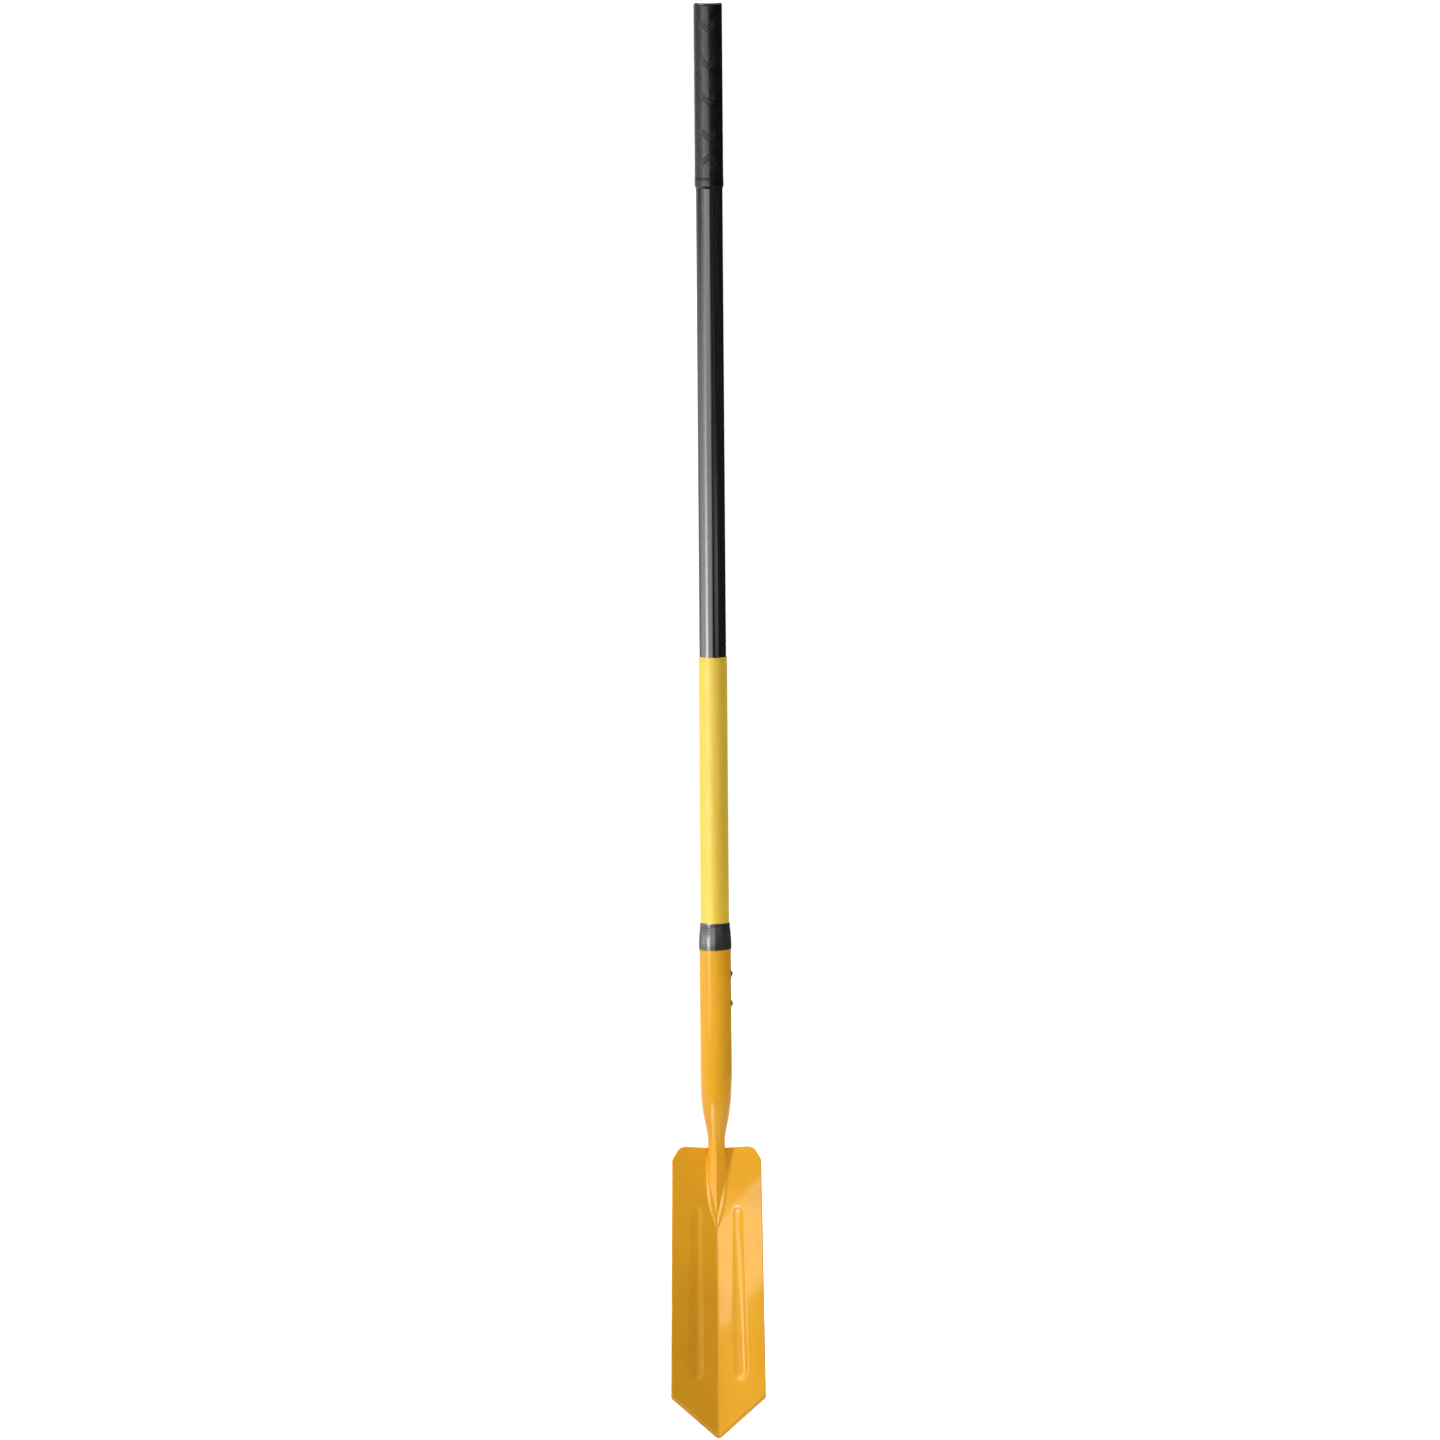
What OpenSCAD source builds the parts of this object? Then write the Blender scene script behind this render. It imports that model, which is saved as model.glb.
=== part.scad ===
// Long-handled trenching spade: folded steel blade, riveted socket, fibreglass shaft.
// Millimetres. +Z runs up the shaft and the hollow of the blade faces -Y.
// The origin lies on the shaft's axis, halfway along the round hold of the grip.

/* [Shaft] */
// Length of the fibreglass tube
tube_len = 1122; // [950:1:1250]
// Outside diameter of the fibreglass tube
tube_od = 28.6; // [26:0.2:32]
// Wall of the fibreglass tube
tube_wall = 4; // [3:0.1:5]
// Length of the core that fills the tube at the socket
core_len = 250; // [200:1:400]
// Play of the core in the tube, on the radius
core_fit = 0.1; // [0.05:0.01:0.2]

/* [Butt plug] */
// Thickness of the flange on the end of the tube
flange_t = 2; // [1.5:0.1:3]
// Length of the spigot in the tube
spigot_len = 24; // [18:1:32]
// Wall of the hollow spigot
spigot_wall = 1.8; // [1.4:0.1:2.5]
// Height of the three ribs on the spigot
rib_h = 0.4; // [0.2:0.05:0.8]
// Width of the three ribs on the spigot
rib_w = 1.6; // [1:0.1:2.5]

/* [Grip] */
// Length of the round hold of the grip
hold_len = 182; // [160:1:220]
// Wall of the rubber around the tube
grip_wall = 0.85; // [0.7:0.05:2]
// Thickness of the closed end
grip_end = 2.5; // [2:0.1:4]
// Rounding of the closed end
end_round = 3; // [2:0.1:4]
// Length of the lip at the lower end
lip_len = 12; // [8:0.5:18]
// Height of the lip over the hold
lip_h = 0.3; // [0.1:0.05:0.8]
// Length of the slopes of the lip
lip_slope = 3; // [1.5:0.1:3.5]
// Depth of the moulded marks
mark_depth = 0.45; // [0.2:0.05:0.6]
// Half width of a mark across the grip
mark_half = 6.4; // [5:0.1:8]
// Width of one line of a mark, along the grip
mark_band = 2; // [1.5:0.1:2.5]
// Step between the two lines of a mark
mark_gap = 4.4; // [4:0.1:6]
// Step from mark to mark along the grip
mark_step = 38.4; // [34:0.1:42]
// From the closed end to the point of the first mark
mark_start = 31; // [26:0.5:36]

/* [Sleeve and collar] */
// Wall of the plastic sleeve
sleeve_wall = 0.9; // [0.7:0.05:1.5]
// Length of the sleeve above the mouth of the socket
sleeve_show = 312.5; // [250:0.5:380]
// Rounding of the upper edge of the sleeve
sleeve_round = 0.6; // [0.3:0.05:0.65]
// Length of the collar
collar_len = 28.4; // [24:0.2:36]
// Wall of the collar at its thin upper edge
collar_edge = 0.7; // [0.5:0.05:1.2]
// How far the collar stands over the socket
collar_over = 0.6; // [0.3:0.05:1]
// Height of the straight band round the foot of the collar
collar_band = 4; // [2:0.1:6]
// Play of the collar on the sleeve, on the radius
collar_fit = 0.1; // [0.05:0.01:0.2]

/* [Socket] */
// Wall of the socket
socket_wall = 1.6; // [1.4:0.1:2.2]
// Play of the sleeve in the socket, on the radius
socket_fit = 0.1; // [0.05:0.01:0.2]
// How far the shaft goes into the socket
insert_len = 118; // [95:1:140]
// Free space under the end of the shaft
end_play = 2; // [1:0.1:4]
// Chamfer round the mouth
mouth_chamfer = 0.5; // [0.3:0.05:0.8]
// Length of the drawn-down taper
taper_len = 88; // [75:1:105]
// Radius of the neck
neck_r = 9.2; // [8.5:0.1:10.5]
// Wall of the neck
neck_wall = 3; // [2.5:0.1:4]
// Height of the crease over the round of the neck
crease_h = 1.2; // [0.8:0.1:1.6]
// How much steeper the faces of the crease are than faces that just touch the round
crease_steep = 5; // [3:0.5:8]
// Length of the neck above the blade
neck_show = 7; // [5:0.5:12]
// How deep the top edge of the blade bites into the neck
seat_depth = 0.5; // [0.3:0.05:0.8]

/* [Rivets] */
// Diameter of a rivet
rivet_d = 5; // [4:0.1:6]
// Diameter of the domed head
head_d = 8.4; // [7.5:0.1:9.5]
// Height of the domed head
head_h = 1.7; // [1.2:0.1:2.2]
// Diameter of the flush tail
tail_d = 7; // [6.4:0.1:7.4]
// From the mouth to the upper rivet
rivet_drop = 27; // [20:0.5:32]
// From the upper rivet to the lower
rivet_step = 31.8; // [26:0.2:40]

/* [Blade] */
// Length of the blade along its fold
blade_len = 310; // [280:1:340]
// Thickness of the steel
sheet_t = 2; // [1.6:0.1:2.5]
// Width under the clipped top corners
top_w = 95; // [90:0.5:100]
// Width at the shoulders of the point
shoulder_w = 101.2; // [96:0.2:108]
// Slope of each half of the blade
wing_angle = 26; // [22:0.5:29]
// Lift of the blade out of the line of the shaft
lift = 14; // [12:0.5:16]
// Inside radius of the fold
fold_r = 3; // [2:0.1:5]
// Slope of the edges of the point
point_angle = 40; // [36:0.5:44]
// Radius of the point
tip_r = 5; // [3:0.1:8]
// Radius of the shoulders
shoulder_r = 3; // [2:0.1:5]
// Width of a clipped top corner
clip_w = 8.5; // [6:0.1:11]
// Height of a clipped top corner
clip_h = 14.5; // [11:0.1:18]
// Radius at both ends of a clipped corner
clip_r = 9; // [6:0.1:12]
// Width of the ground edge
edge_w = 3.2; // [2:0.1:5]
// Steel left at the ground edge
edge_t = 0.7; // [0.5:0.05:1]

/* [Beads] */
// From the fold to the middle of a bead at its upper end, across its half of the blade
bead_top_mid = 24; // [22:0.1:26]
// From the fold to the middle of a bead at its lower end, across its half of the blade
bead_foot_mid = 26.3; // [24:0.1:28]
// From the top edge to the upper end of a bead
bead_top = 64; // [55:0.5:75]
// From the top edge to the lower end of a bead
bead_foot = 249; // [235:0.5:255]
// Half width at the upper end
bead_top_half = 5.8; // [5:0.1:7]
// Half width at the lower end
bead_foot_half = 9.2; // [7.5:0.1:10]
// Depth at the upper end
bead_top_depth = 1.6; // [1.2:0.1:2]
// Depth at the lower end
bead_foot_depth = 2.6; // [2:0.1:3]

/* [Welds] */
// Leg of a weld run on the blade, at its start under the top edge
weld_top_leg = 1.6; // [1.2:0.1:2.5]
// Leg of a weld run on the blade, at the end of the neck
weld_foot_leg = 4.6; // [3:0.1:5.5]
// Swell of the face of a weld run, at the end of the neck
weld_swell = 0.6; // [0.3:0.05:0.8]

/* [Hidden] */
$fn = 96;

// Overrun of every cut
over = 1;
// Steps along a rounded edge
round_steps = 8;
// Steps along the taper of the socket and the swell of the collar
curve_steps = 48;
// How late the collar begins to thin upwards
swell_power = 1.8;
// Steps along a weld run, and across its face
weld_steps = 48;
weld_sides = 5;
// Start of a weld run, as a share of the turn from the middle of the seat to the top edge
weld_start_share = 1.5;
// Leg of a weld run on the neck, at its end, as a share of its leg on the blade there
weld_neck_share = 0.6;
// How late a weld run turns to go round the end of the neck
weld_turn_power = 6;

tube_r = tube_od / 2;
bore_r = tube_r - tube_wall;
grip_r = tube_r + grip_wall;
sleeve_r = tube_r + sleeve_wall;
collar_bore_r = sleeve_r + collar_fit;
socket_bore_r = sleeve_r + socket_fit;
socket_r = socket_bore_r + socket_wall;
collar_top_r = collar_bore_r + collar_edge;
collar_foot_r = socket_r + collar_over;
rivet_r = rivet_d / 2;

hold_top_z = hold_len / 2;
end_z = hold_top_z + end_round;
lip_top_z = -hold_len / 2;
lip_foot_z = lip_top_z - lip_len;
plug_top_z = end_z - grip_end;
tube_top_z = plug_top_z - flange_t;
tube_foot_z = tube_top_z - tube_len;
mouth_z = tube_foot_z + insert_len;
collar_top_z = mouth_z + collar_len;
sleeve_top_z = mouth_z + sleeve_show;
taper_top_z = tube_foot_z - end_play;
neck_top_z = taper_top_z - taper_len;
upper_rivet_z = mouth_z - rivet_drop;
lower_rivet_z = upper_rivet_z - rivet_step;
blade_top_z = neck_top_z - neck_show;

// Slope of a half of the blade in a level cut
level_slope = tan(wing_angle) / cos(lift);
// Direction from the neck's axis to its line of contact with the right half
seat_angle = atan(1 / level_slope);
// The fold's place behind the shaft's axis, where the neck lies on both halves
fold_y = neck_r * sqrt(1 + level_slope * level_slope) - seat_depth;
crease_y = neck_r + crease_h;
// Half of the angle across the crease, and half of its width
crease_angle = asin(neck_r / crease_y) - crease_steep;
crease_reach = crease_y * cos(crease_angle);
crease_half = sin(crease_angle)
    * (crease_reach - sqrt(crease_reach * crease_reach + neck_r * neck_r - crease_y * crease_y));
// Depth at which the blade's fold has come forward to the crease
tang_len = (fold_y + crease_y) / tan(lift);
fold_centre = fold_r / cos(wing_angle);

point_z = -blade_len - tip_r * (1 / cos(point_angle) - 1);
shoulder_z = point_z + shoulder_w / 2 * tan(point_angle);
wing_point_angle = atan(tan(point_angle) * cos(wing_angle));

function unit(v) = v / norm(v);

// The points of a rounded corner at b, between the sides from a and to c
function corner(a, b, c, r) =
    let (
        u = unit(a - b),
        w = unit(c - b),
        half = acos(u * w) / 2,
        middle = b + unit(u + w) * r / sin(half),
        from = b + u * r / tan(half) - middle,
        to = b + w * r / tan(half) - middle,
        start = atan2(from.y, from.x),
        turn = atan2(from.x * to.y - from.y * to.x, from * to)
    )
    [
        for (i = [0 : round_steps])
            middle + r * [
                cos(start + turn * i / round_steps),
                sin(start + turn * i / round_steps)
            ]
    ];

function mirrored(points) =
    [for (i = [len(points) - 1 : -1 : 0]) [-points[i].x, points[i].y]];

// Radius of the socket's taper at a share of its length
function taper_r(share, top, foot) =
    foot + (top - foot) * pow(cos(90 * share * share), 2);

function taper_line(top, foot) =
    [
        for (i = [0 : curve_steps])
            [
                taper_r(i / curve_steps, top, foot),
                taper_top_z - taper_len * i / curve_steps
            ]
    ];

module ring(outer, inner, foot, top) {
    translate([0, 0, foot])
        difference() {
            cylinder(r = outer, h = top - foot);
            translate([0, 0, -over])
                cylinder(r = inner, h = top - foot + 2 * over);
        }
}

module rivet_holes() {
    for (z = [upper_rivet_z, lower_rivet_z])
        translate([0, 0, z])
            rotate([0, 90, 0])
                cylinder(r = rivet_r, h = 2 * (socket_r + over), center = true);
}

// Cone of the flush tail, from the inside of the socket's wall out to -X
module rivet_tail(z) {
    translate([-socket_r, 0, z])
        rotate([0, 90, 0])
            cylinder(r1 = tail_d / 2, r2 = rivet_r, h = socket_wall);
}

module rivet(z) {
    color("#3a3a3c") {
        intersection() {
            union() {
                translate([0, 0, z])
                    rotate([0, 90, 0])
                        cylinder(r = rivet_r, h = 2 * socket_r, center = true);
                rivet_tail(z);
            }
            translate([0, 0, z])
                cylinder(r = socket_r, h = 2 * tail_d, center = true);
        }
        rivet_head(z);
    }
}

module rivet_head(z) {
    sag = socket_r - sqrt(socket_r * socket_r - head_d * head_d / 4);
    rise = head_h + sag;
    dome_r = (head_d * head_d / 4 + rise * rise) / (2 * rise);
    difference() {
        translate([socket_r + head_h - dome_r, 0, z])
            sphere(r = dome_r);
        translate([0, 0, z])
            cylinder(r = socket_r, h = 2 * head_d, center = true);
    }
}

module shaft_tube() {
    color("#1d1e20")
        difference() {
            ring(tube_r, bore_r, tube_foot_z, tube_top_z);
            rivet_holes();
        }
}

module shaft_core() {
    color("#c9a36a")
        difference() {
            translate([0, 0, tube_foot_z])
                cylinder(r = bore_r - core_fit, h = core_len);
            rivet_holes();
        }
}

module butt_plug() {
    spigot_r = bore_r - core_fit - rib_h;
    color("#2c2c2e")
        difference() {
            union() {
                translate([0, 0, tube_top_z])
                    cylinder(r = tube_r, h = flange_t);
                translate([0, 0, tube_top_z - spigot_len])
                    cylinder(r = spigot_r, h = spigot_len);
                for (i = [1 : 3])
                    translate([0, 0, tube_top_z - spigot_len * i / 4])
                        cylinder(r = spigot_r + rib_h, h = rib_w, center = true);
            }
            translate([0, 0, tube_top_z - spigot_len - over])
                cylinder(r = spigot_r - spigot_wall, h = spigot_len + over);
        }
}

module grip() {
    end_arc = [
        for (i = [0 : round_steps])
            [
                grip_r - end_round + end_round * cos(90 * i / round_steps),
                hold_top_z + end_round * sin(90 * i / round_steps)
            ]
    ];
    color("#232325")
        difference() {
            rotate_extrude()
                polygon(concat(
                    [
                        [tube_r, plug_top_z],
                        [tube_r, lip_foot_z],
                        [tube_r + grip_wall / 2, lip_foot_z],
                        [grip_r + lip_h, lip_foot_z + lip_slope],
                        [grip_r + lip_h, lip_top_z - lip_slope],
                        [grip_r, lip_top_z]
                    ],
                    end_arc,
                    [[0, end_z], [0, plug_top_z]]
                ));
            for (turn = [0, 180])
                rotate([0, 0, turn])
                    grip_marks();
        }
}

// Four pairs of lines pointing to the blade and one pair pointing back, sunk to one depth
module grip_marks() {
    intersection() {
        ring(grip_r + over, grip_r - mark_depth, lip_top_z, hold_top_z);
        rotate([90, 0, 0])
            linear_extrude(grip_r + over)
                union() {
                    for (i = [0 : 3])
                        translate([0, end_z - mark_start - mark_step * i])
                            mark_lines();
                    translate([0, end_z - mark_start - mark_step * 3 - 2 * mark_half])
                        mirror([0, 1])
                            mark_lines();
                }
    }
}

module mark_lines() {
    for (step = [0, mark_gap])
        translate([0, step])
            polygon([
                [0, 0],
                [mark_half, mark_half],
                [mark_half, mark_half + mark_band],
                [0, mark_band],
                [-mark_half, mark_half + mark_band],
                [-mark_half, mark_half]
            ]);
}

module sleeve() {
    edge = [
        for (i = [0 : round_steps])
            [
                sleeve_r - sleeve_round + sleeve_round * cos(90 * i / round_steps),
                sleeve_top_z - sleeve_round + sleeve_round * sin(90 * i / round_steps)
            ]
    ];
    color("#f0d23c")
        difference() {
            rotate_extrude()
                polygon(concat(
                    [
                        [tube_r, tube_foot_z],
                        [sleeve_r, tube_foot_z]
                    ],
                    edge,
                    [[tube_r, sleeve_top_z]]
                ));
            rivet_holes();
        }
}

module collar() {
    swell = [
        for (i = [0 : curve_steps])
            let (share = i / curve_steps)
                [
                    collar_foot_r - (collar_foot_r - collar_top_r) * pow(share, swell_power),
                    mouth_z + collar_band + (collar_len - 2 * collar_band) * share
                ]
    ];
    color("#3d3d3f")
        rotate_extrude()
            polygon(concat(
                [
                    [collar_bore_r, mouth_z],
                    [collar_foot_r - collar_over / 2, mouth_z],
                    [collar_foot_r, mouth_z + collar_over / 2]
                ],
                swell,
                [
                    [collar_top_r, collar_top_z - collar_edge / 2],
                    [collar_top_r - collar_edge / 2, collar_top_z],
                    [collar_bore_r, collar_top_z]
                ]
            ));
}

// The neck below the taper, with its crease, before it is cut to the blade
module neck_bar() {
    foot_z = blade_top_z - tang_len - over;
    translate([0, 0, foot_z]) {
        cylinder(r = neck_r, h = neck_top_z - foot_z);
        linear_extrude(taper_top_z - foot_z)
            polygon([
                [0, -crease_y],
                [neck_r / 2, -crease_y + neck_r / 2 / tan(crease_angle)],
                [0, 0],
                [-neck_r / 2, -crease_y + neck_r / 2 / tan(crease_angle)]
            ]);
    }
}

module socket() {
    color("#eaa51e")
        difference() {
            union() {
                rotate_extrude()
                    polygon(concat(
                        [
                            [0, mouth_z],
                            [socket_r - mouth_chamfer, mouth_z],
                            [socket_r, mouth_z - mouth_chamfer]
                        ],
                        taper_line(socket_r, neck_r),
                        [[0, neck_top_z]]
                    ));
                difference() {
                    neck_bar();
                    behind_blade();
                }
            }
            rotate_extrude()
                polygon(concat(
                    [
                        [0, mouth_z + over],
                        [socket_bore_r, mouth_z + over]
                    ],
                    taper_line(socket_bore_r, neck_r - neck_wall),
                    [
                        [neck_r - neck_wall, blade_top_z - tang_len - 2 * over],
                        [0, blade_top_z - tang_len - 2 * over]
                    ]
                ));
            rivet_holes();
            for (z = [upper_rivet_z, lower_rivet_z])
                rivet_tail(z);
        }
}

// Places the blade's own frame: Z up its fold from the top edge, +Y behind it
module at_blade() {
    translate([0, fold_y, blade_top_z])
        rotate([-lift, 0, 0])
            children();
}

// A half of the blade laid along X, its front face at y = 0
module on_wing(side) {
    mirror([side, 0, 0])
        rotate([0, 0, -wing_angle])
            children();
}

// Cross-section of a layer behind the blade's front face
module fold_layer(depth, reach) {
    wedge = 2 * (fold_r + depth);
    for (side = [0, 1])
        mirror([side, 0])
            translate([0, -fold_centre])
                rotate(-wing_angle)
                    translate([0, fold_r])
                        square([reach, depth]);
    translate([0, -fold_centre])
        intersection() {
            difference() {
                circle(r = fold_r + depth);
                circle(r = fold_r);
            }
            polygon([
                [0, 0],
                wedge * [sin(wing_angle), cos(wing_angle)],
                wedge * [-sin(wing_angle), cos(wing_angle)]
            ]);
        }
}

module behind_blade() {
    at_blade()
        translate([0, 0, -blade_len])
            linear_extrude(blade_len)
                fold_layer(3 * crease_y, 4 * crease_y);
}

module blade_outline() {
    tip = [0, point_z];
    shoulder = [shoulder_w / 2, shoulder_z];
    side = [top_w / 2, -clip_h];
    top = [top_w / 2 - clip_w, 0];
    right = concat(
        corner(tip, shoulder, side, shoulder_r),
        corner(shoulder, side, top, clip_r),
        corner(side, top, mirrored([top])[0], clip_r)
    );
    polygon(concat(
        corner(mirrored([shoulder])[0], tip, shoulder, tip_r),
        right,
        mirrored(right)
    ));
}

// A tapered rod with round ends, laid in the face of a half of the blade
module bead_rod(grow) {
    top_r = (bead_top_half * bead_top_half + bead_top_depth * bead_top_depth) / (2 * bead_top_depth);
    foot_r = (bead_foot_half * bead_foot_half + bead_foot_depth * bead_foot_depth) / (2 * bead_foot_depth);
    from = [bead_top_mid, bead_top_depth - top_r, -bead_top - bead_top_half];
    to = [bead_foot_mid, bead_foot_depth - foot_r, bead_foot_half - bead_foot];
    way = to - from;
    run = norm(way);
    swell = (foot_r - top_r) / run;
    narrow = sqrt(1 - swell * swell);
    lean = atan2(-way.y, -norm([way.x, way.z]));
    tilt = atan2(-way.x, -way.z);
    translate(from)
        rotate([lean, tilt, 0]) {
            sphere(r = top_r + grow);
            translate([0, 0, run])
                sphere(r = foot_r + grow);
            translate([0, 0, -swell * (top_r + grow)])
                cylinder(
                    r1 = narrow * (top_r + grow),
                    r2 = narrow * (foot_r + grow),
                    h = run - swell * (foot_r - top_r)
                );
        }
}

// What the grinding takes off the front along one edge of the point
module ground_edge() {
    depth = sheet_t - edge_t;
    translate([0, 0, point_z])
        rotate([0, -wing_point_angle, 0])
            translate([-over, 0, 0])
                rotate([90, 0, 90])
                    linear_extrude(shoulder_w)
                        polygon([
                            [-over, edge_w * (1 + over / depth)],
                            [-over, -over],
                            [depth * (1 + over / edge_w), -over]
                        ]);
}

module blade() {
    color("#eaa51e")
        at_blade()
            difference() {
                union() {
                    intersection() {
                        translate([0, 0, -blade_len])
                            linear_extrude(blade_len)
                                fold_layer(sheet_t, shoulder_w);
                        rotate([90, 0, 0])
                            linear_extrude(2 * shoulder_w, center = true)
                                blade_outline();
                    }
                    for (side = [0, 1])
                        on_wing(side)
                            intersection() {
                                bead_rod(sheet_t);
                                translate([0, sheet_t / 2, -blade_len])
                                    cube([shoulder_w, shoulder_w, blade_len]);
                            }
                }
                for (side = [0, 1])
                    on_wing(side) {
                        bead_rod(0);
                        ground_edge();
                    }
            }
}

// Outline of the neck at a turn from +X, with the crease at -90
function neck_point(turn) =
    let (
        x = neck_r * cos(turn),
        y = neck_r * sin(turn)
    )
    [x, y < 0 && abs(x) < crease_half ? abs(x) / tan(crease_angle) - crease_y : y];

// The blade's front face at a distance from its middle, in its own frame
function front_y(x) =
    abs(x) < fold_r * sin(wing_angle)
        ? sqrt(fold_r * fold_r - x * x) - fold_centre
        : -abs(x) * tan(wing_angle);

// Where a line down the neck meets the blade, in the blade's own frame
function meeting(p) =
    let (
        back = front_y(p.x),
        z = ((p.y - fold_y) * cos(lift) - back) / sin(lift)
    )
    [p.x, back, (p.y - fold_y) * sin(lift) + z * cos(lift)];

// A point of the neck in the blade's own frame, raised up the shaft from where it meets it
function on_neck(turn, foot, raise) =
    let (p = neck_point(turn))
    [
        p.x,
        (p.y - fold_y) * cos(lift) - (foot + raise) * sin(lift),
        (p.y - fold_y) * sin(lift) + (foot + raise) * cos(lift)
    ];

// Level of that meeting under the top of the blade, along the shaft
function meeting_level(turn) =
    let (p = neck_point(turn))
    ((p.y - fold_y) * cos(lift) - front_y(p.x)) / sin(lift);

// One section of a weld run: root, up the neck, over the swelled face, out to the blade
function weld_section(turn, step, done) =
    let (
        leg = weld_top_leg + (weld_foot_leg - weld_top_leg) * done,
        neck_leg = leg * (1 - (1 - weld_neck_share) * done),
        round_end = pow(done, weld_turn_power),
        root = meeting(neck_point(turn)),
        before = meeting(neck_point(turn + step)),
        foot = meeting_level(turn),
        rise = meeting_level(turn + step) - foot,
        slant = atan2(rise, neck_r * step * PI / 180) * (1 - round_end),
        climb = neck_leg * sin(slant) / neck_r * 180 / PI,
        raise = neck_leg * cos(slant),
        neck_half = on_neck(max(turn - climb / 2, -90), foot, raise / 2),
        neck_toe = on_neck(max(turn - climb, -90), foot, raise),
        veer = atan2((before.x - root.x) / cos(wing_angle), before.z - root.z),
        drop = veer + (90 - veer) * round_end,
        toe_x = root.x + leg * cos(drop) * cos(wing_angle),
        blade_toe = [toe_x, front_y(toe_x), root.z - leg * sin(drop)],
        across = unit(blade_toe - neck_toe),
        reach = (neck_toe + blade_toe) / 2 - root,
        away = unit(reach - across * (reach * across)) * weld_swell * leg / weld_foot_leg
    )
    concat(
        [root, neck_half],
        [
            for (i = [0 : weld_sides])
                let (share = i / weld_sides)
                    neck_toe * (1 - share) + blade_toe * share + away * 4 * share * (1 - share)
        ]
    );

module weld() {
    start = seat_angle - weld_start_share * acos((fold_y / neck_r) / norm([1, level_slope]));
    step = (start + 90) / weld_steps;
    count = weld_sides + 3;
    points = [
        for (i = [0 : weld_steps])
            each weld_section(start - step * i, step, i / weld_steps)
    ];
    skin = [
        for (i = [0 : weld_steps - 1])
            for (k = [0 : count - 1])
                let (
                    a = i * count + k,
                    b = i * count + (k + 1) % count
                )
                    each [[a, b, b + count], [a, b + count, a + count]]
    ];
    last = weld_steps * count;
    toe = count - 1;
    ends = [
        for (k = [0 : toe - 2])
            each [[toe, k + 1, k], [last + toe, last + k, last + k + 1]]
    ];
    color("#eaa51e")
        at_blade()
            polyhedron(points = points, faces = concat(skin, ends), convexity = 4);
}

module upper_rivet() {
    rivet(upper_rivet_z);
}

module lower_rivet() {
    rivet(lower_rivet_z);
}

module right_weld() {
    weld();
}

module left_weld() {
    mirror([1, 0, 0])
        weld();
}

shaft_tube();
shaft_core();
butt_plug();
grip();
sleeve();
collar();
socket();
upper_rivet();
lower_rivet();
blade();
left_weld();
right_weld();
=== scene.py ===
"""Looks of a long-handled trenching spade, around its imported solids. Metres."""

import math

import bpy
from mathutils import Matrix, Vector


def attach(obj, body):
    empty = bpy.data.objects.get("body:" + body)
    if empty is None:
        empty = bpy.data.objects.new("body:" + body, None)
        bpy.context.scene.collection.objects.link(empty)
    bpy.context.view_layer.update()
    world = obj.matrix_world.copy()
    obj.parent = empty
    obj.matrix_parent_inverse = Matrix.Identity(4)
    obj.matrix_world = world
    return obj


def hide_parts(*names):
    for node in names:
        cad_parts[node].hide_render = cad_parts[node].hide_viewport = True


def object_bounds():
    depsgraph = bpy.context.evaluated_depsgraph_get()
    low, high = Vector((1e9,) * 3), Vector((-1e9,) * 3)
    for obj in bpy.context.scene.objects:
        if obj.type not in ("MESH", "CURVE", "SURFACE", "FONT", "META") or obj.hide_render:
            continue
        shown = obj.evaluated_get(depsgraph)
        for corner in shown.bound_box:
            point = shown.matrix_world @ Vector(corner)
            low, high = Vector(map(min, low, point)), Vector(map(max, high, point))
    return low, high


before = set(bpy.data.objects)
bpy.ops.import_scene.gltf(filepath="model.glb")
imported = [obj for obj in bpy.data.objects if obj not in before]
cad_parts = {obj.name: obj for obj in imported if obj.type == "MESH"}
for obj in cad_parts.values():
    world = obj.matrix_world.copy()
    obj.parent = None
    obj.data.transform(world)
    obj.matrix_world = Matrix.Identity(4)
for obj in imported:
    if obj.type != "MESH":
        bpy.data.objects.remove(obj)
cad_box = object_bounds()

# Camera: far off, a little above the level, with the spade a hair out of plumb
IMAGE_PX = 1440
METRES_PER_PX = 0.0010602
CAMERA_DISTANCE = 25.0
CAMERA_REACH = 200.0
CAMERA_ELEVATION = math.radians(7.0)
CAMERA_ROLL = math.radians(-0.45)
CAMERA_TARGET = Vector((0.0072, 0.0, -0.67))
TO_CAMERA = Vector((0.0, -math.cos(CAMERA_ELEVATION), math.sin(CAMERA_ELEVATION)))

# Blade: its outline as seen square on, right half, from the tip up
WING_ANGLE = math.radians(26.0)
BLADE_LIFT = math.radians(14.0)
BLADE_PLACE = (0.0, 0.009797, -1.1295)
TIP = (0.0, -0.31153)
SHOULDER = (0.0506, -0.26907)
SIDE_TOP = (0.0475, -0.0145)
TOP_CORNER = (0.039, 0.0)
TOP_MIDDLE = (0.0, 0.0)
TIP_RADIUS = 0.005
SHOULDER_RADIUS = 0.003
CLIP_RADIUS = 0.009
CORNER_STEPS = 8

# Blade: the sheet, its fold, its ground edge along the point and its rounded rims
SHEET = 0.002
MERGE_WITHIN = SHEET / 100.0
BLANK_CELLS = (66, 180)
FOLD_RADIUS = 0.003
FOLD_STRIP = 0.0017
FOLD_STEPS = 6
GROUND_WIDTH = 0.0032
GROUND_DEPTH = 0.0013
EDGE_ROUNDING = 0.0003
EDGE_STEPS = 2
EDGE_ANGLE = math.radians(55.0)
SMOOTH_ANGLE = math.radians(20.0)

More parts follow.
